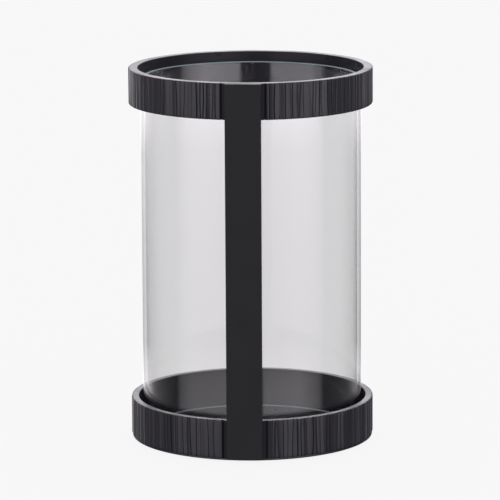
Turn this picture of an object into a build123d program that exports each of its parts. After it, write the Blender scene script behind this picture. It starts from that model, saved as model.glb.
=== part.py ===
"""Hurricane candle lantern: two fluted rings held by one upright strap round a lift-out glass.

Millimetres. The origin is on the lantern's axis at the height of the surface it stands on,
+Z is up, and the strap is on the -Y side.
"""

import os
from math import asin, degrees, sqrt

from build123d import *

os.makedirs("parts", exist_ok=True)

# ---------------------------------------------------------------- driving dimensions
overall_height = 300.0          # surface to the rim of the top ring
ring_outer_dia = 195.0
top_ring_height = 28.7
top_ring_wall = 7.5
base_ring_wall = 6.0
base_ring_rim = 33.0            # height of the base ring's rim above the surface
rim_round = 0.8                 # rounding on the rings' rims

flute_count = 160               # of mean width, if they went all the way round
flute_depth = 0.9
flute_unevenness = 0.45         # how much a flute's width may differ from the mean, 0 to 1

strap_width = 28.0
strap_thickness = 6.0
land_width = 35.0               # smooth flat on each ring, behind and beside the strap
strap_edge_break = 0.4

glass_outer_dia = 176.0
glass_wall = 3.0
glass_below_rim = 8.0
glass_edge_round = 0.9

felt_dia = 170.0
felt_thickness = 1.0

plate_thickness = 1.5
plate_inset = 0.6               # the plate is this much smaller in radius than the ring

# countersunk machine screws: thread, head diameter, head height, driver socket across flats
strap_screw = (4.0, 7.6, 2.2, 2.5)
plate_screw = (2.5, 4.7, 1.3, 1.5)
top_strap_screw_length = 10.0
base_strap_screw_length = 8.0
plate_screw_length = 8.0
strap_screw_spacing = 16.0
plate_screw_count = 6
base_screw_raise = 2.0          # the strap's screws sit this far above the base ring's middle,
                                # which keeps them clear of the plate's screws
head_sink = 0.1                 # a strap screw's head ends this far under the bore's wall
socket_share = 0.6              # depth of a driver socket as a share of its head's height
head_room = 2.0                 # a countersunk hole is cut this far out past the head's face
strap_thread_depth = 4.8        # of the tapped holes in the strap's back
plate_thread_depth = 8.0        # of the tapped holes in the base ring's foot
hole_play = 0.15                # radial play of a screw's shank in the piece it clamps
thread_play = 0.03              # radial play left where a thread is drawn as a plain shank

# ---------------------------------------------------------------- worked-out sizes
ring_radius = ring_outer_dia / 2
top_bore_radius = ring_radius - top_ring_wall
base_bore_radius = ring_radius - base_ring_wall
land_distance = sqrt(ring_radius**2 - (land_width / 2) ** 2)
plate_top = felt_thickness + plate_thickness
top_ring_foot = overall_height - top_ring_height
base_ring_height = base_ring_rim - plate_top
plate_radius = ring_radius - plate_inset
top_screw_height = top_ring_foot + top_ring_height / 2
base_screw_height = plate_top + base_ring_height / 2 + base_screw_raise
glass_height = overall_height - glass_below_rim - plate_top
plate_screw_circle = (base_bore_radius + ring_radius - flute_depth) / 2
golden = (sqrt(5) - 1) / 2      # its multiples, less their whole parts, spread evenly


def on_ring(angle, depth=0.0):
    """The point this deep under the ring's outside, at an angle counted from the strap."""
    return Vector(0, depth - ring_radius, 0).rotate(Axis.Z, angle)


def flute_edges():
    """The angles of the ridges between the flutes, which are unevenly wide."""
    land_half_angle = degrees(asin(land_width / ring_outer_dia))
    room = 360 - 2 * land_half_angle
    count = round(flute_count * room / 360)
    widths = [1 + flute_unevenness * (2 * (i * golden % 1) - 1) for i in range(count)]
    angles = [land_half_angle]
    for width in widths:
        angles.append(angles[-1] + width * room / sum(widths))
    return angles


def head_face(bore_radius):
    """Distance from the axis to the face of a strap screw's head, just under the bore wall."""
    nearest = (strap_screw_spacing - strap_screw[1]) / 2
    return sqrt(bore_radius**2 - nearest**2) + head_sink


def strap_screw_planes(bore_radius, height):
    """Planes of the two head faces in a ring, side by side; +Z points at the axis."""
    planes = []
    for side in (-1, 1):
        head_middle = (side * strap_screw_spacing / 2, -head_face(bore_radius), height)
        planes.append(Plane(origin=head_middle, z_dir=(0, 1, 0)))
    return planes


def plate_screw_spots():
    """The places of the plate's screws, evenly round their circle, half a step from +X."""
    half_step = 180 / plate_screw_count
    return PolarLocations(plate_screw_circle, plate_screw_count, start_angle=half_step)


def plate_screw_planes():
    """Planes of the head faces in the base plate's underside; +Z points down."""
    return [
        Plane(origin=(spot.position.X, spot.position.Y, felt_thickness), z_dir=(0, 0, -1))
        for spot in plate_screw_spots().locations
    ]


def countersink(planes, screw, depth):
    """Cut a countersunk clearance hole for the screw at each plane, from its +Z side."""
    thread, head_dia, head_height, _ = screw
    with Locations(*planes):
        Cylinder(
            thread / 2 + hole_play,
            depth,
            align=(Align.CENTER, Align.CENTER, Align.MAX),
            mode=Mode.SUBTRACT,
        )
        Cone(
            thread / 2,
            head_dia / 2,
            head_height,
            align=(Align.CENTER, Align.CENTER, Align.MAX),
            mode=Mode.SUBTRACT,
        )
        Cylinder(
            head_dia / 2,
            head_room,
            align=(Align.CENTER, Align.CENTER, Align.MIN),
            mode=Mode.SUBTRACT,
        )


def make_ring(bore_radius, foot, height, screw_height):
    """A fluted ring: a cast blank, its flutes, the strap's flat land and its screw holes."""
    with BuildPart() as ring:
        with BuildSketch(Plane.XY.offset(foot)):
            with BuildLine():
                ridges = flute_edges()
                for ridge, next_ridge in zip(ridges, ridges[1:]):
                    trough = on_ring((ridge + next_ridge) / 2, flute_depth)
                    ThreePointArc(on_ring(ridge), trough, on_ring(next_ridge))
                Line(on_ring(ridges[-1]), on_ring(ridges[0]))
            make_face()
            Circle(bore_radius, mode=Mode.SUBTRACT)
        extrude(amount=height)
        # the rims are rounded all the way round, across the ends of the flutes
        with BuildSketch(Plane.XZ):
            with Locations(((bore_radius + ring_radius) / 2, foot + height / 2)):
                RectangleRounded(ring_radius - bore_radius, height, rim_round)
        revolve(axis=Axis.Z, mode=Mode.INTERSECT)
        countersink(strap_screw_planes(bore_radius, screw_height), strap_screw, 2 * top_ring_wall)
    return ring


def make_screw(head_plane, screw, length):
    """A countersunk screw, its head's face on the plane and its shank along the plane's -Z."""
    thread, head_dia, head_height, socket = screw
    with BuildPart(head_plane) as made:
        Cylinder(thread / 2 - thread_play, length, align=(Align.CENTER, Align.CENTER, Align.MAX))
        Cone(
            thread / 2 - thread_play,
            head_dia / 2,
            head_height,
            align=(Align.CENTER, Align.CENTER, Align.MAX),
        )
        with BuildSketch(head_plane):
            RegularPolygon(socket / 2, 6, major_radius=False)
        extrude(amount=-socket_share * head_height, mode=Mode.SUBTRACT)
    return made


# ---------------------------------------------------------------- the two rings
top_ring = make_ring(top_bore_radius, top_ring_foot, top_ring_height, top_screw_height)
top_ring.part.label = "top_ring"
export_step(top_ring.part, "parts/top_ring.step")

base_ring = make_ring(base_bore_radius, plate_top, base_ring_height, base_screw_height)
with base_ring:
    # tapped holes in the foot for the plate's screws
    with Locations(Plane.XY.offset(plate_top)):
        with plate_screw_spots():
            Cylinder(
                plate_screw[0] / 2,
                plate_thread_depth,
                align=(Align.CENTER, Align.CENTER, Align.MIN),
                mode=Mode.SUBTRACT,
            )
base_ring.part.label = "base_ring"
export_step(base_ring.part, "parts/base_ring.step")

# ---------------------------------------------------------------- the strap, on both lands
with BuildPart() as upright_strap:
    with BuildSketch(Plane.XY.offset(plate_top)):
        with Locations((0, -land_distance)):
            Rectangle(strap_width, strap_thickness, align=(Align.CENTER, Align.MAX))
    extrude(amount=overall_height - plate_top)
    front = upright_strap.faces().sort_by(Axis.Y)[0]
    chamfer(front.edges(), strap_edge_break)
    # blind tapped holes in the back, in line with the holes in both rings
    for height in (top_screw_height, base_screw_height):
        back = Plane(origin=(0, -land_distance, height), x_dir=(1, 0, 0), z_dir=(0, 1, 0))
        with Locations(back):
            with GridLocations(strap_screw_spacing, 1, 2, 1):
                Cylinder(
                    strap_screw[0] / 2,
                    strap_thread_depth,
                    align=(Align.CENTER, Align.CENTER, Align.MAX),
                    mode=Mode.SUBTRACT,
                )
upright_strap.part.label = "upright_strap"
export_step(upright_strap.part, "parts/upright_strap.step")

# ---------------------------------------------------------------- the glass, open at both ends
with BuildPart() as glass_cylinder:
    with BuildSketch(Plane.XZ):
        with Locations(((glass_outer_dia - glass_wall) / 2, plate_top + glass_height / 2)):
            RectangleRounded(glass_wall, glass_height, glass_edge_round)
    revolve(axis=Axis.Z)
glass_cylinder.part.label = "glass_cylinder"
export_step(glass_cylinder.part, "parts/glass_cylinder.step")

# ---------------------------------------------------------------- the base plate and its felt
with BuildPart() as base_plate:
    with BuildSketch(Plane.XY.offset(felt_thickness)):
        Circle(plate_radius)
    extrude(amount=plate_thickness)
    countersink(plate_screw_planes(), plate_screw, 2 * plate_thickness)
base_plate.part.label = "base_plate"
export_step(base_plate.part, "parts/base_plate.step")

with BuildPart() as felt_base:
    with BuildSketch(Plane.XY):
        Circle(felt_dia / 2)
    extrude(amount=felt_thickness)
felt_base.part.label = "felt_base"
export_step(felt_base.part, "parts/felt_base.step")

# ---------------------------------------------------------------- the screws
strap_screw_sets = (
    ("top_strap_screw", top_bore_radius, top_screw_height, top_strap_screw_length),
    ("base_strap_screw", base_bore_radius, base_screw_height, base_strap_screw_length),
)
for set_name, bore_radius, height, length in strap_screw_sets:
    for number, plane in enumerate(strap_screw_planes(bore_radius, height), start=1):
        screw_piece = make_screw(plane, strap_screw, length)
        screw_piece.part.label = f"{set_name}_{number}"
        export_step(screw_piece.part, f"parts/{set_name}_{number}.step")

for number, plane in enumerate(plate_screw_planes(), start=1):
    screw_piece = make_screw(plane, plate_screw, plate_screw_length)
    screw_piece.part.label = f"plate_screw_{number}"
    export_step(screw_piece.part, f"parts/plate_screw_{number}.step")
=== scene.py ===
import math
import random

import bpy
from mathutils import Matrix, Vector


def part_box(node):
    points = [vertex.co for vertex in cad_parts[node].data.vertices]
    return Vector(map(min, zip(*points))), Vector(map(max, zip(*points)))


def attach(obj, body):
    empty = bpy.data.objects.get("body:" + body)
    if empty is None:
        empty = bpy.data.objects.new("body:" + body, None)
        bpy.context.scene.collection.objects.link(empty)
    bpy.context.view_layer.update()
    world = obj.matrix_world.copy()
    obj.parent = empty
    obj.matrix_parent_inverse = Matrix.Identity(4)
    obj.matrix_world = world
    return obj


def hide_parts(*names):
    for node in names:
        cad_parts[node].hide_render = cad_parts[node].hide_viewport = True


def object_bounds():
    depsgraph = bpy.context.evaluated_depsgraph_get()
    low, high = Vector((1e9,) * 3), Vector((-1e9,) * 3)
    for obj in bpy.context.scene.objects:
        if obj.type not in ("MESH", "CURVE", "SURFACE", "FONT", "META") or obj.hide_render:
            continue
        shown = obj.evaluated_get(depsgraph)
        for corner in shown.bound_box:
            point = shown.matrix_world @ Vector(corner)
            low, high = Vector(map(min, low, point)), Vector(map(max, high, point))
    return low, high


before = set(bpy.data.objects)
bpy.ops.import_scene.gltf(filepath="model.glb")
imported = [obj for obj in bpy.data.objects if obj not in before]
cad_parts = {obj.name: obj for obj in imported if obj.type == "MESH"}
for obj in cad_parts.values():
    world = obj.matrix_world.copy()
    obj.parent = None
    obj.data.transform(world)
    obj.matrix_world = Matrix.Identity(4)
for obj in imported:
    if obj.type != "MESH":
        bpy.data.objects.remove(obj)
cad_low, cad_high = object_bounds()
lantern_height = cad_high.z


# The camera stands in front of the strap and a little to its right, slightly above the lantern,
# with a long lens, so that both rings show as thin ovals.
azimuth, elevation = math.radians(3.6), math.radians(10.78)
camera_roll = math.radians(0.31)
camera_distance = 2.983
camera_lens_mm = 267.2
aim_left, aim_up = 0.0012, 0.0010       # from the middle of the lantern's axis
toward_camera = Vector((
    math.sin(azimuth) * math.cos(elevation),
    -math.cos(azimuth) * math.cos(elevation),
    math.sin(elevation),
))
camera_right = Vector((math.cos(azimuth), math.sin(azimuth), 0))
camera_up = toward_camera.cross(camera_right)
aim = Vector((0, 0, lantern_height / 2)) - camera_right * aim_left + camera_up * aim_up

bpy.ops.object.camera_add(location=aim + toward_camera * camera_distance)
camera = bpy.context.object
camera.data.lens = camera_lens_mm
upright_view = (-toward_camera).to_track_quat("-Z", "Y").to_matrix()
camera.rotation_euler = (upright_view @ Matrix.Rotation(-camera_roll, 3, "Z")).to_euler()
bpy.context.scene.camera = camera


# The floor is one wide sheet of pale paper, lit from underneath, so that it stays even and the
# lantern's shadow on it is faint. It lies just clear of the felt.
floor_size = 16
floor_gap = 0.0002
paper_glow = 0.882


def linear(hex_colour):
    """A colour written as sRGB hex, as the linear RGBA that the nodes want."""
    parts = [int(hex_colour[i : i + 2], 16) / 255 for i in (1, 3, 5)]
    return [c / 12.92 if c <= 0.04045 else ((c + 0.055) / 1.055) ** 2.4 for c in parts] + [1]


def new_material(name):
    """An empty node material and its tree."""
    material = bpy.data.materials.new(name)
    material.use_nodes = True
    material.node_tree.nodes.clear()
    return material, material.node_tree


def add_node(tree, kind, settings=None, **inputs):
    """Add a node. Each input is a value, or another node's output socket to link."""
    node = tree.nodes.new("ShaderNode" + kind)
    for key, value in (settings or {}).items():
        setattr(node, key, value)
    for key, value in inputs.items():
        name = int(key[1:]) if key[0] == "i" and key[1:].isdigit() else key.replace("_", " ")
        socket = node.inputs[name]
        if isinstance(value, bpy.types.NodeSocket):
            tree.links.new(value, socket)
        else:
            socket.default_value = value
    return node


bpy.ops.object.select_all(action="DESELECT")
bpy.ops.mesh.primitive_plane_add(size=floor_size, location=(0, 0, -floor_gap))
floor = bpy.context.object
floor.name = "floor"
# matt white paper: no shine at all, and an even glow that comes through from below
paper, tree = new_material("pale paper")
glow = add_node(tree, "Emission", Color=linear("#ffffff"), Strength=paper_glow)
matt = add_node(tree, "BsdfDiffuse", Color=linear("#505050"))
both = add_node(tree, "AddShader", i0=glow.outputs[0], i1=matt.outputs[0])
# from below the paper isn't there, so that the lantern's foot can be looked at
side = add_node(tree, "NewGeometry")
nothing = add_node(tree, "BsdfTransparent", Color=linear("#ffffff"))
sheet = add_node(tree, "MixShader", i0=side.outputs["Backfacing"], i1=both.outputs[0],
                 i2=nothing.outputs[0])
add_node(tree, "OutputMaterial", Surface=sheet.outputs[0])
floor.data.materials.append(paper)
floor.visible_glossy = False


# The room is lit as a tabletop studio lights glass: two tall soft panels left and right of the
# camera with a dark gap between them, dim sides and a white wall behind that leans over the top.
# It is all in the world's own light, and the camera itself sees it evenly pale.

# glow against compass bearing in degrees, from the camera to the right, near the horizon and below
low_profile = (
    (-180, 2.2), (-175, 1.9), (-166, 1.0), (-150, 1.0), (-130, 0.35), (-87, 0.12), (-83, 0.6),
    (-66, 1.10), (-24, 1.20), (-20, 0.03), (9, 0.03), (13, 1.25), (50, 1.5), (77, 0.7),
    (81, 0.12), (130, 0.2), (145, 0.50), (157, 0.2), (168, 0.25), (176, 1.9), (180, 2.2),
)
# the same for the light from above
high_profile = (
    (-180, 1.9), (-150, 0.6), (-100, 0.3), (-60, 0.75),
    (60, 0.75), (100, 0.3), (150, 0.6), (180, 1.9),
)
# how much of the low glow there is against the sine of the height above the horizon: the panels end
# a little under the horizon, and below them is their shine on the table
height_profile = (
    (-0.30, 0.30), (-0.245, 0.60), (-0.232, 1.05), (-0.222, 1.05), (-0.211, 0.46),
    (-0.187, 0.53), (-0.161, 0.72), (-0.142, 1.7), (0.10, 1.7),
)
low_light_top, high_light_foot = -0.04, 0.10    # sines of height, between which the two mix
background_glow = 0.94
panel_colour = "#fdf9ff"

world = bpy.data.worlds.new("studio")
bpy.context.scene.world = world
world.use_nodes = True
tree = world.node_tree
tree.nodes.clear()
direction = add_node(tree, "TexCoord")
split = add_node(tree, "SeparateXYZ", Vector=direction.outputs["Generated"])
toward = add_node(tree, "Math", {"operation": "MULTIPLY"}, i0=split.outputs["Y"], i1=-1.0)
bearing = add_node(tree, "Math", {"operation": "ARCTAN2"}, i0=split.outputs["X"],
                   i1=toward.outputs[0])
turn = add_node(tree, "Math", {"operation": "SUBTRACT"}, i0=bearing.outputs[0], i1=azimuth)
turn_degrees = add_node(tree, "Math", {"operation": "DEGREES"}, i0=turn.outputs[0])
glows = []
for profile, value in (
    (low_profile, turn_degrees.outputs[0]),
    (high_profile, turn_degrees.outputs[0]),
    (height_profile, split.outputs["Z"]),
):
    start, end = profile[0][0], profile[-1][0]
    share = add_node(tree, "MapRange", Value=value, From_Min=start, From_Max=end)
    ramp = add_node(tree, "ValToRGB", Fac=share.outputs[0])
    stops = ramp.color_ramp.elements
    for place, glow in profile[1:-1]:
        stops.new((place - start) / (end - start)).color = (glow, glow, glow, 1)
    for stop, (_, glow) in ((stops[0], profile[0]), (stops[-1], profile[-1])):
        stop.color = (glow, glow, glow, 1)
    glows.append(ramp.outputs[0])
low_panels, high_panels, fall = glows
low_light = add_node(tree, "Math", {"operation": "MULTIPLY"}, i0=low_panels, i1=fall)
rise = add_node(tree, "MapRange", Value=split.outputs["Z"], From_Min=low_light_top,
                From_Max=high_light_foot)
lit = add_node(tree, "Mix", {"data_type": "FLOAT"}, Factor=rise.outputs[0],
               i2=low_light.outputs[0], i3=high_panels)
rays = add_node(tree, "LightPath")
seen = add_node(tree, "Mix", {"data_type": "FLOAT"}, Factor=rays.outputs["Is Camera Ray"],
                i2=lit.outputs[0], i3=background_glow)
colour = add_node(tree, "Mix", {"data_type": "RGBA"}, Factor=rays.outputs["Is Camera Ray"],
                  i6=linear(panel_colour), i7=linear("#ffffff"))
room = add_node(tree, "Background", Color=colour.outputs[2], Strength=seen.outputs[0])
add_node(tree, "OutputWorld", Surface=room.outputs[0])
bpy.context.scene.view_settings.view_transform = "Standard"


# The top ring is a low hoop cast in aluminium. Its outside is cut all round with uneven upright
# grooves, one flat land is left plain for the strap, and it is powder-coated satin black.
top_wall = 0.0075
rim_rounding = 0.0008
land_half_width = 0.0175
land_steps = 24                 # across the strap's land
wall_rows = 9                   # of points down each groove, so that it can lean and bow
same_place = 1e-6               # points nearer than this are one

groove_spacing = 0.0036
groove_steps = (0.62, 0.8, 1.0, 1.0, 1.2, 1.45)     # shares of the spacing that are picked from
groove_half_width = 0.00043
groove_lip_share = (0.7, 1.2)
groove_depth = 0.0011
groove_depth_share = (0.55, 1.15)
groove_wander = 0.3             # share of the spacing that a groove leans or bows by, end to end
last_gap = 0.6                  # share of the spacing kept free before the strap's land
beside_land_depth, beside_land_lip = 1.8, 1.9       # of the two grooves that frame the land
ridge_sink = 0.00035            # of the ridges' tops under the ring's full size
ridge_tilt = 0.00034
ridge_crown = (0.00005, 0.00018)
ridge_shares = (0, 0.12, 0.5, 0.88, 1)              # where a ridge has points, across its width


def groove_plan(outer_radius, seed):
    """The grooves round a ring by their angle from the strap, and the ridge after each one."""
    pick = random.Random(seed)
    start = math.asin(land_half_width / outer_radius)
    spacing_angle = groove_spacing / outer_radius
    plan, angle = [], start
    while angle < 2 * math.pi - start - last_gap * spacing_angle:
        plan.append({
            "angle": angle,
            "depth": groove_depth * pick.uniform(*groove_depth_share),
            "lean": pick.uniform(-0.5, 0.5) * spacing_angle * groove_wander,
            "bow": pick.uniform(-0.5, 0.5) * spacing_angle * groove_wander,
            "tilt": pick.uniform(-1, 1) * ridge_tilt,
            "crown": pick.uniform(*ridge_crown),
            "lip": groove_half_width * pick.uniform(*groove_lip_share),
        })
        angle += spacing_angle * pick.choice(groove_steps)
    plan.append(dict(plan[0], angle=2 * math.pi - start))
    for groove in (plan[0], plan[-1]):
        groove.update(lean=0, bow=0, depth=beside_land_depth * groove_depth,
                      lip=beside_land_lip * groove_half_width)
    return plan


def groove_columns(outer_radius, seed):
    """Columns of points round the ring: angle, depth under the full size, lean and bow."""
    plan = groove_plan(outer_radius, seed)
    columns = []
    for here, after in zip(plan, plan[1:]):
        lip = here["lip"] / outer_radius
        width = after["angle"] - here["angle"] - lip - after["lip"] / outer_radius
        columns.append((here["angle"], here["depth"], here["lean"], here["bow"]))
        for share in ridge_shares:
            bulge = here["crown"] * (1 - (2 * share - 1) ** 2)
            sink = ridge_sink + here["tilt"] * (2 * share - 1) - bulge
            columns.append((
                here["angle"] + lip + width * share,
                sink,
                here["lean"] * (1 - share) + after["lean"] * share,
                here["bow"] * (1 - share) + after["bow"] * share,
            ))
    columns.append((plan[-1]["angle"], plan[-1]["depth"], 0, 0))
    flat = math.sqrt(outer_radius**2 - land_half_width**2)
    for step in range(1, land_steps):
        across = land_half_width * (2 * step / land_steps - 1)
        sink = outer_radius - math.hypot(across, flat)
        columns.append((2 * math.pi + math.atan(across / flat), sink, 0, 0))
    return columns


def select_vertices(mesh, test):
    """In object mode, select the vertices whose place passes the test, and what they span."""
    for vertex in mesh.vertices:
        vertex.select = test(vertex.co)
    for edge in mesh.edges:
        edge.select = all(mesh.vertices[v].select for v in edge.vertices)
    for polygon in mesh.polygons:
        polygon.select = all(mesh.vertices[v].select for v in polygon.vertices)


def smooth_over(piece, degrees):
    """Shade the active piece smooth up to an angle, its broad faces keeping their true normals."""
    bpy.ops.object.shade_smooth_by_angle(angle=math.radians(degrees))
    broad = piece.modifiers.new("broad faces", "WEIGHTED_NORMAL")
    broad.weight = 100
    broad.keep_sharp = True
    bpy.ops.object.modifier_apply(modifier=broad.name)


def make_fluted_ring(name, bore, outer, foot, rim, seed):
    """Spin the ring's section, then press the grooves into its outside."""
    bpy.ops.object.select_all(action="DESELECT")
    bpy.ops.mesh.primitive_plane_add(size=1, location=(0, 0, 0))
    ring = bpy.context.object
    ring.name = name
    bpy.ops.object.mode_set(mode="EDIT")
    bpy.ops.mesh.select_all(action="SELECT")
    bpy.ops.transform.rotate(value=math.radians(90), orient_axis="X", center_override=(0, 0, 0))
    bpy.ops.transform.resize(value=(outer - bore, 1, rim - foot), center_override=(0, 0, 0))
    bpy.ops.transform.translate(value=((bore + outer) / 2, 0, (foot + rim) / 2))
    bpy.ops.mesh.bevel(affect="VERTICES", offset=rim_rounding, segments=3)
    bpy.ops.mesh.delete(type="ONLY_FACE")
    bpy.ops.object.mode_set(mode="OBJECT")
    select_vertices(ring.data, lambda co: co.x > outer - same_place)
    bpy.ops.object.mode_set(mode="EDIT")
    bpy.ops.mesh.select_mode(type="EDGE")
    bpy.ops.mesh.subdivide(number_cuts=wall_rows)
    bpy.ops.mesh.select_mode(type="VERT")
    bpy.ops.mesh.select_all(action="SELECT")
    columns = groove_columns(outer, seed)
    bpy.ops.mesh.spin(steps=len(columns), angle=2 * math.pi, center=(0, 0, 0), axis=(0, 0, 1),
                      use_auto_merge=True)
    bpy.ops.mesh.select_all(action="SELECT")
    bpy.ops.mesh.remove_doubles(threshold=same_place)
    bpy.ops.object.mode_set(mode="OBJECT")
    # each column of the even spin is moved to its own angle, and sunk where it is outside
    step = 2 * math.pi / len(columns)
    for vertex in ring.data.vertices:
        radius = math.hypot(vertex.co.x, vertex.co.y)
        index = round(math.atan2(vertex.co.y, vertex.co.x) / step) % len(columns)
        angle, depth, lean, bow = columns[index]
        if radius > (bore + outer) / 2:
            up = 2 * (vertex.co.z - foot) / (rim - foot) - 1
            angle += lean * up + bow * (1 - up * up)
            radius -= depth
        vertex.co.x = radius * math.sin(angle)
        vertex.co.y = -radius * math.cos(angle)
    bpy.ops.object.mode_set(mode="EDIT")
    bpy.ops.mesh.select_all(action="SELECT")
    bpy.ops.mesh.normals_make_consistent(inside=False)
    bpy.ops.object.mode_set(mode="OBJECT")
    smooth_over(ring, degrees=28)
    return ring


def powder_coat(name, colour, patch_colour, roughness, grain_mm):
    """A baked powder coat: a dark, finely pebbled skin of polyester with a soft, patchy sheen."""
    patch_mm, patch_roughness = 25, 0.05
    material, tree = new_material(name)
    place = add_node(tree, "TexCoord")
    pebble = add_node(tree, "TexNoise", Vector=place.outputs["Object"], Scale=1000 / grain_mm,
                      Detail=3.0)
    cloud = add_node(tree, "TexNoise", Vector=place.outputs["Object"], Scale=1000 / patch_mm,
                     Detail=2.0)
    tone = add_node(tree, "MapRange", Value=cloud.outputs["Fac"], From_Min=0.3, From_Max=0.7,
                    To_Min=roughness - patch_roughness, To_Max=roughness + patch_roughness)
    shade = add_node(tree, "Mix", {"data_type": "RGBA"}, Factor=cloud.outputs["Fac"],
                     i6=linear(colour), i7=linear(patch_colour))
    bump = add_node(tree, "Bump", Height=pebble.outputs["Fac"], Strength=0.12, Distance=0.0002)
    skin = add_node(tree, "BsdfPrincipled", Base_Color=shade.outputs[2], Roughness=tone.outputs[0],
                    Normal=bump.outputs[0])
    add_node(tree, "OutputMaterial", Surface=skin.outputs[0])
    return material


def ring_sizes(node):
    """Outer radius, foot and rim height of a ring's CAD node."""
    low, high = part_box(node)
    return (high.x - low.x) / 2, low.z, high.z


outer, foot, rim = ring_sizes("top_ring")
top_ring = make_fluted_ring("top_hoop", outer - top_wall, outer, foot, rim, seed=11)
satin_coat = powder_coat("satin powder coat", "#26252c", "#201f25", roughness=0.32, grain_mm=0.9)
top_ring.data.materials.append(satin_coat)
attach(top_ring, "frame")
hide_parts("top_ring")


# The base ring is the same kind of casting, a little taller and thinner in the wall. The base
# plate is screwed up into its foot.
base_wall = 0.006
outer, foot, rim = ring_sizes("base_ring")
base_ring = make_fluted_ring("base_hoop", outer - base_wall, outer, foot, rim, seed=23)
base_ring.data.materials.append(satin_coat)
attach(base_ring, "frame")
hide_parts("base_ring")


# The strap is one flat steel bar with its edges just broken, screwed to both rings' lands from
# inside them. It is powder-coated matt black, which gives it a duller, more even face than theirs.
matt_coat = powder_coat("matt powder coat", "#121217", "#0f0f13", roughness=0.5, grain_mm=0.7)
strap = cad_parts["upright_strap"]
strap.data.materials.clear()
strap.data.materials.append(matt_coat)


# The glass is a plain tube of clear soda-lime glass, 3 mm thick, cut to length and fire-polished,
# so that both its ends are rounded.
glass_wall = 0.003
glass_rounding = 0.0009
glass_steps = 360               # round the tube
glass_index = 1.5
glass_roughness = 0.02
face_passes = (0.936, 0.932, 0.937, 1)      # shares of light that one face lets through, square on


def make_tube(name, bore, outer, low, high, rounding, steps):
    """Spin a tube's rounded section."""
    bpy.ops.object.select_all(action="DESELECT")
    bpy.ops.mesh.primitive_plane_add(size=1, location=(0, 0, 0))
    tube = bpy.context.object
    tube.name = name
    bpy.ops.object.mode_set(mode="EDIT")
    bpy.ops.mesh.select_all(action="SELECT")
    bpy.ops.transform.rotate(value=math.radians(90), orient_axis="X", center_override=(0, 0, 0))
    bpy.ops.transform.resize(value=(outer - bore, 1, high - low), center_override=(0, 0, 0))
    bpy.ops.transform.translate(value=((bore + outer) / 2, 0, (low + high) / 2))
    bpy.ops.mesh.bevel(affect="VERTICES", offset=rounding, segments=4)
    bpy.ops.mesh.delete(type="ONLY_FACE")
    bpy.ops.mesh.select_all(action="SELECT")
    bpy.ops.mesh.spin(steps=steps, angle=2 * math.pi, center=(0, 0, 0), axis=(0, 0, 1),
                      use_auto_merge=True)
    bpy.ops.mesh.select_all(action="SELECT")
    bpy.ops.mesh.remove_doubles(threshold=same_place)
    bpy.ops.mesh.normals_make_consistent(inside=False)
    bpy.ops.object.mode_set(mode="OBJECT")
    smooth_over(tube, degrees=40)
    return tube


glass_low, glass_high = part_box("glass_cylinder")
outer = glass_high.x
glass = make_tube("glass_tube", outer - glass_wall, outer, glass_low.z, glass_high.z,
                  glass_rounding, glass_steps)

# a thin wall doesn't bend what is seen through it, so light passes straight on with a faint grey
# tint, least at a slant, and each face mirrors the room by the angle it is seen at
clear_glass, tree = new_material("clear glass")
face = add_node(tree, "NewGeometry")
index = add_node(tree, "MapRange", Value=face.outputs["Backfacing"], To_Min=glass_index,
                 To_Max=1 / glass_index)
gloss = add_node(tree, "Fresnel", IOR=index.outputs[0])
slant = add_node(tree, "LayerWeight", Blend=0.5)
tint = add_node(tree, "Mix", {"data_type": "RGBA"}, Factor=slant.outputs["Facing"],
                i6=face_passes, i7=linear("#ffffff"))
clear = add_node(tree, "BsdfTransparent", Color=tint.outputs[2])
mirror = add_node(tree, "BsdfGlossy", Color=linear("#ffffff"), Roughness=glass_roughness)
wall = add_node(tree, "MixShader", i0=gloss.outputs[0], i1=clear.outputs[0], i2=mirror.outputs[0])
add_node(tree, "OutputMaterial", Surface=wall.outputs[0])
glass.data.materials.append(clear_glass)

# the fire-polished ends are pale blue-green and carry a faint painted glow, standing in for light
# that runs along inside the wall and comes out at them
ripple_mm = 16.7
edge, tree = new_material("polished glass edge with painted glow")
place = add_node(tree, "TexCoord")
ripple = add_node(tree, "TexNoise", Vector=place.outputs["Object"], Scale=1000 / ripple_mm,
                  Detail=1.0)
soft = add_node(tree, "MapRange", Value=ripple.outputs["Fac"], From_Min=0.3, From_Max=0.7,
                To_Min=0.12, To_Max=0.30)
# the emission is painted glow, not a lamp: it paints the light that leaves the glass's ends
painted_glow_edge = add_node(tree, "BsdfPrincipled", Base_Color=linear("#7f9398"), Roughness=soft.outputs[0],
                    Emission_Color=linear("#b9cdd2"), Emission_Strength=0.10)
add_node(tree, "OutputMaterial", Surface=painted_glow_edge.outputs[0])
glass.data.materials.append(edge)
end_band = glass_rounding / 2   # at both ends, in which the faces are the polished edge
for polygon in glass.data.polygons:
    between = glass_low.z + end_band < polygon.center.z < glass_high.z - end_band
    polygon.material_index = 0 if between else 1
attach(glass, "glass")
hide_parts("glass_cylinder")


# The base plate is a disc of sheet steel, faced on a lathe and given the same black coat. It is
# screwed up to the base ring, and the glass stands on it.
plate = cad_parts["base_plate"]

# the cutter's rings still show faintly through the thin coat, and so does fine dust in it
ring_spacing_mm = 2.0           # the real rings are finer, and are drawn this coarse to show
wave_length = math.pi / 10      # of the Wave texture at a scale of 1
dust_mm = 11.1
sheet_coat, tree = new_material("satin coat on turned sheet")
place = add_node(tree, "TexCoord")
turned = add_node(tree, "TexWave", {"wave_type": "RINGS", "rings_direction": "Z"},
                  Vector=place.outputs["Object"], Scale=wave_length * 1000 / ring_spacing_mm,
                  Distortion=0.4, Detail=1.0)
dust = add_node(tree, "TexNoise", Vector=place.outputs["Object"], Scale=1000 / dust_mm,
                Detail=4.0)
tone = add_node(tree, "MapRange", Value=dust.outputs["Fac"], From_Min=0.3, From_Max=0.7,
                To_Min=0.26, To_Max=0.38)
shade = add_node(tree, "Mix", {"data_type": "RGBA"}, Factor=dust.outputs["Fac"],
                 i6=linear("#1c1c20"), i7=linear("#28282c"))
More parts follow.
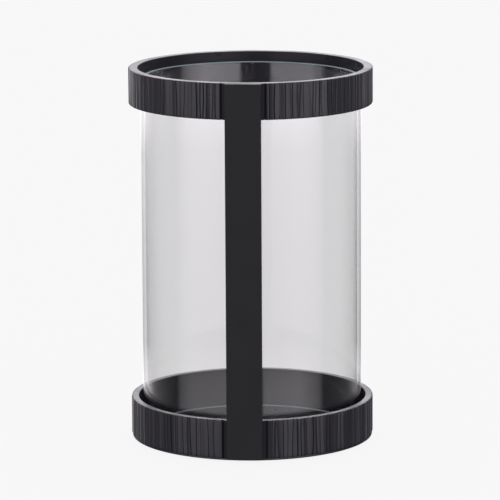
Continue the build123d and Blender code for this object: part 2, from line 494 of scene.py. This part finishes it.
bump = add_node(tree, "Bump", Height=turned.outputs["Fac"], Strength=0.06, Distance=0.0001)
skin = add_node(tree, "BsdfPrincipled", Base_Color=shade.outputs[2], Roughness=tone.outputs[0],
                Normal=bump.outputs[0])
add_node(tree, "OutputMaterial", Surface=skin.outputs[0])
plate.data.materials.clear()
plate.data.materials.append(sheet_coat)


# The felt is a die-cut disc of black wool felt, stuck under the plate inside the ring of screws.
# Its underside is napped, and its cut edge is a little ragged.
felt_low, felt_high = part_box("felt_base")
nap_height = 0.00012
nap_full_radius = 0.04          # nearer the middle the points are closer, and the nap lies flatter
fray = 0.0002
felt_rings, felt_steps = 40, 180    # of points, from the middle out and round

bpy.ops.object.select_all(action="DESELECT")
bpy.ops.mesh.primitive_plane_add(size=1, location=(0, 0, 0))
felt = bpy.context.object
felt.name = "felt_disc"
bpy.ops.object.mode_set(mode="EDIT")
bpy.ops.mesh.select_all(action="SELECT")
bpy.ops.transform.rotate(value=math.radians(90), orient_axis="X", center_override=(0, 0, 0))
bpy.ops.transform.resize(value=(felt_high.x, 1, felt_high.z - felt_low.z),
                         center_override=(0, 0, 0))
bpy.ops.transform.translate(value=(felt_high.x / 2, 0, (felt_low.z + felt_high.z) / 2))
bpy.ops.mesh.delete(type="ONLY_FACE")
bpy.ops.object.mode_set(mode="OBJECT")
select_vertices(felt.data, lambda co: co.x < same_place)
bpy.ops.object.mode_set(mode="EDIT")
bpy.ops.mesh.select_mode(type="EDGE")
bpy.ops.mesh.delete(type="EDGE")
bpy.ops.mesh.select_all(action="SELECT")
bpy.ops.object.mode_set(mode="OBJECT")
select_vertices(felt.data, lambda co: co.z < felt_low.z + same_place)
bpy.ops.object.mode_set(mode="EDIT")
bpy.ops.mesh.subdivide(number_cuts=felt_rings)
bpy.ops.mesh.select_all(action="SELECT")
bpy.ops.mesh.spin(steps=felt_steps, angle=2 * math.pi, center=(0, 0, 0), axis=(0, 0, 1),
                  use_auto_merge=True)
bpy.ops.mesh.select_all(action="SELECT")
bpy.ops.mesh.remove_doubles(threshold=same_place)
bpy.ops.mesh.normals_make_consistent(inside=False)
bpy.ops.mesh.select_mode(type="VERT")
bpy.ops.object.mode_set(mode="OBJECT")
pick = random.Random(5)
for vertex in felt.data.vertices:
    radius = math.hypot(vertex.co.x, vertex.co.y)
    if vertex.co.z < felt_low.z + same_place:
        vertex.co.z += nap_height * pick.random() * min(1, radius / nap_full_radius)
    if radius > felt_high.x - same_place:
        inward = 1 - fray * pick.random() / radius
        vertex.co.x *= inward
        vertex.co.y *= inward
bpy.ops.object.shade_smooth_by_angle(angle=math.radians(40))

# pressed wool: no shine, tufts that catch the light at a slant, and denser and thinner places
tuft_mm = 0.6                   # drawn coarser than the 0.03 mm fibres, so that they show
mat_mm = 8.3
wool, tree = new_material("black wool felt")
place = add_node(tree, "TexCoord")
tufts = add_node(tree, "TexNoise", Vector=place.outputs["Object"], Scale=1000 / tuft_mm,
                 Detail=6.0, Distortion=1.5)
mats = add_node(tree, "TexNoise", Vector=place.outputs["Object"], Scale=1000 / mat_mm,
                Detail=3.0)
shade = add_node(tree, "Mix", {"data_type": "RGBA"}, Factor=mats.outputs["Fac"],
                 i6=linear("#18181a"), i7=linear("#2e2e31"))
bump = add_node(tree, "Bump", Height=tufts.outputs["Fac"], Strength=0.8, Distance=0.0004)
skin = add_node(tree, "BsdfPrincipled", Base_Color=shade.outputs[2], Roughness=0.95,
                Normal=bump.outputs[0], Sheen_Weight=0.4, Sheen_Roughness=0.5)
add_node(tree, "OutputMaterial", Surface=skin.outputs[0])
felt.data.materials.append(wool)
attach(felt, "frame")
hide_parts("felt_base")


# The screws are countersunk socket screws in black-oxide steel: two M4 through each ring into the
# strap's back, and six M2.5 up through the plate into the base ring's foot.
screw_sides = 24
thread_play = 0.00003
thread_height = 0.54            # as a share of the pitch
socket_depth = 0.6              # as a share of the head's height


def make_socket_screw(name, face, shank_way, thread, pitch, length, head, head_height, socket):
    """A countersunk screw with its head's face at a point and its shank the way given."""
    shank = thread / 2 - thread_play
    threaded = length - head_height
    bpy.ops.object.select_all(action="DESELECT")
    bpy.ops.mesh.primitive_cylinder_add(
        vertices=screw_sides, radius=shank, depth=threaded, location=(0, 0, 0)
    )
    screw = bpy.context.object
    screw.name = name
    bpy.ops.object.mode_set(mode="EDIT")
    bpy.ops.mesh.select_all(action="SELECT")
    bpy.ops.transform.translate(value=(0, 0, -(length + head_height) / 2))
    bpy.ops.object.mode_set(mode="OBJECT")
    select_vertices(screw.data, lambda co: co.z > -head_height - same_place)
    bpy.ops.object.mode_set(mode="EDIT")
    bpy.ops.mesh.extrude_region_move(TRANSFORM_OT_translate={"value": (0, 0, head_height)})
    spread = head / 2 / shank
    bpy.ops.transform.resize(value=(spread, spread, 1), center_override=(0, 0, 0))
    bpy.ops.mesh.inset(thickness=head / 2 - socket / math.sqrt(3))
    bpy.ops.object.mode_set(mode="OBJECT")
    # the middle ring of points is drawn in to the socket's hexagon, four points to a side
    for vertex in screw.data.vertices:
        if vertex.select:
            turn = math.atan2(vertex.co.y, vertex.co.x) % (math.pi / 3) - math.pi / 6
            reach = socket / 2 / math.cos(turn) / math.hypot(vertex.co.x, vertex.co.y)
            vertex.co.x *= reach
            vertex.co.y *= reach
    bpy.ops.object.mode_set(mode="EDIT")
    socket_floor = (0, 0, -socket_depth * head_height)
    bpy.ops.mesh.extrude_region_move(TRANSFORM_OT_translate={"value": socket_floor})
    bpy.ops.object.mode_set(mode="OBJECT")
    # the thread is drawn as rings a pitch apart: the outer wall's long edges are cut, and every
    # second cut is drawn in to the thread's root
    turns = round(threaded / pitch)
    bpy.ops.object.mode_set(mode="EDIT")
    bpy.ops.mesh.select_mode(type="EDGE")
    bpy.ops.mesh.select_all(action="DESELECT")
    bpy.ops.object.mode_set(mode="OBJECT")
    for edge in screw.data.edges:
        ends = [screw.data.vertices[v].co for v in edge.vertices]
        edge.select = abs(abs(ends[0].z - ends[1].z) - threaded) < same_place
    bpy.ops.object.mode_set(mode="EDIT")
    bpy.ops.mesh.subdivide(number_cuts=2 * turns - 1)
    bpy.ops.mesh.select_mode(type="VERT")
    bpy.ops.object.mode_set(mode="OBJECT")
    step = threaded / (2 * turns)
    drawn_in = 1 - thread_height * pitch / shank
    for vertex in screw.data.vertices:
        row = (vertex.co.z + length) / step
        if row < 2 * turns - 0.5 and abs(row - round(row)) < 0.01 and round(row) % 2 == 0:
            vertex.co.x *= drawn_in
            vertex.co.y *= drawn_in
    bpy.ops.object.mode_set(mode="EDIT")
    bpy.ops.mesh.select_all(action="SELECT")
    bpy.ops.mesh.normals_make_consistent(inside=False)
    bpy.ops.object.mode_set(mode="OBJECT")
    smooth_over(screw, degrees=25)
    screw.rotation_euler = (-Vector(shank_way)).to_track_quat("Z", "Y").to_euler()
    screw.location = face
    bpy.ops.object.transform_apply(location=True, rotation=True, scale=True)
    return screw


# the hot oxide bath leaves steel a dark grey metal, a little patchy where the oil sits
oil_mm = 1.43
oxide, tree = new_material("black oxide steel")
place = add_node(tree, "TexCoord")
patch = add_node(tree, "TexNoise", Vector=place.outputs["Object"], Scale=1000 / oil_mm,
                 Detail=3.0)
tone = add_node(tree, "MapRange", Value=patch.outputs["Fac"], From_Min=0.3, From_Max=0.7,
                To_Min=0.28, To_Max=0.45)
shade = add_node(tree, "Mix", {"data_type": "RGBA"}, Factor=patch.outputs["Fac"],
                 i6=linear("#3a3a3d"), i7=linear("#55565a"))
skin = add_node(tree, "BsdfPrincipled", Base_Color=shade.outputs[2], Roughness=tone.outputs[0],
                Metallic=1.0)
add_node(tree, "OutputMaterial", Surface=skin.outputs[0])

m4 = dict(thread=0.004, pitch=0.0007, head_height=0.0022, socket=0.0025)
m2_5 = dict(thread=0.0025, pitch=0.00045, head_height=0.0013, socket=0.0015)
for node in sorted(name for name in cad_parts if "screw" in name):
    low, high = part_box(node)
    middle = (low + high) / 2
    if node.startswith("plate"):
        face, way, length = (middle.x, middle.y, low.z), (0, 0, 1), high.z - low.z
        screw_sizes = m2_5
    else:
        face, way, length = (middle.x, high.y, middle.z), (0, -1, 0), high.y - low.y
        screw_sizes = m4
    screw = make_socket_screw(
        node + "_turned", face, way, length=length, head=high.x - low.x, **screw_sizes
    )
    screw.data.materials.append(oxide)
    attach(screw, "frame")
    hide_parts(node)
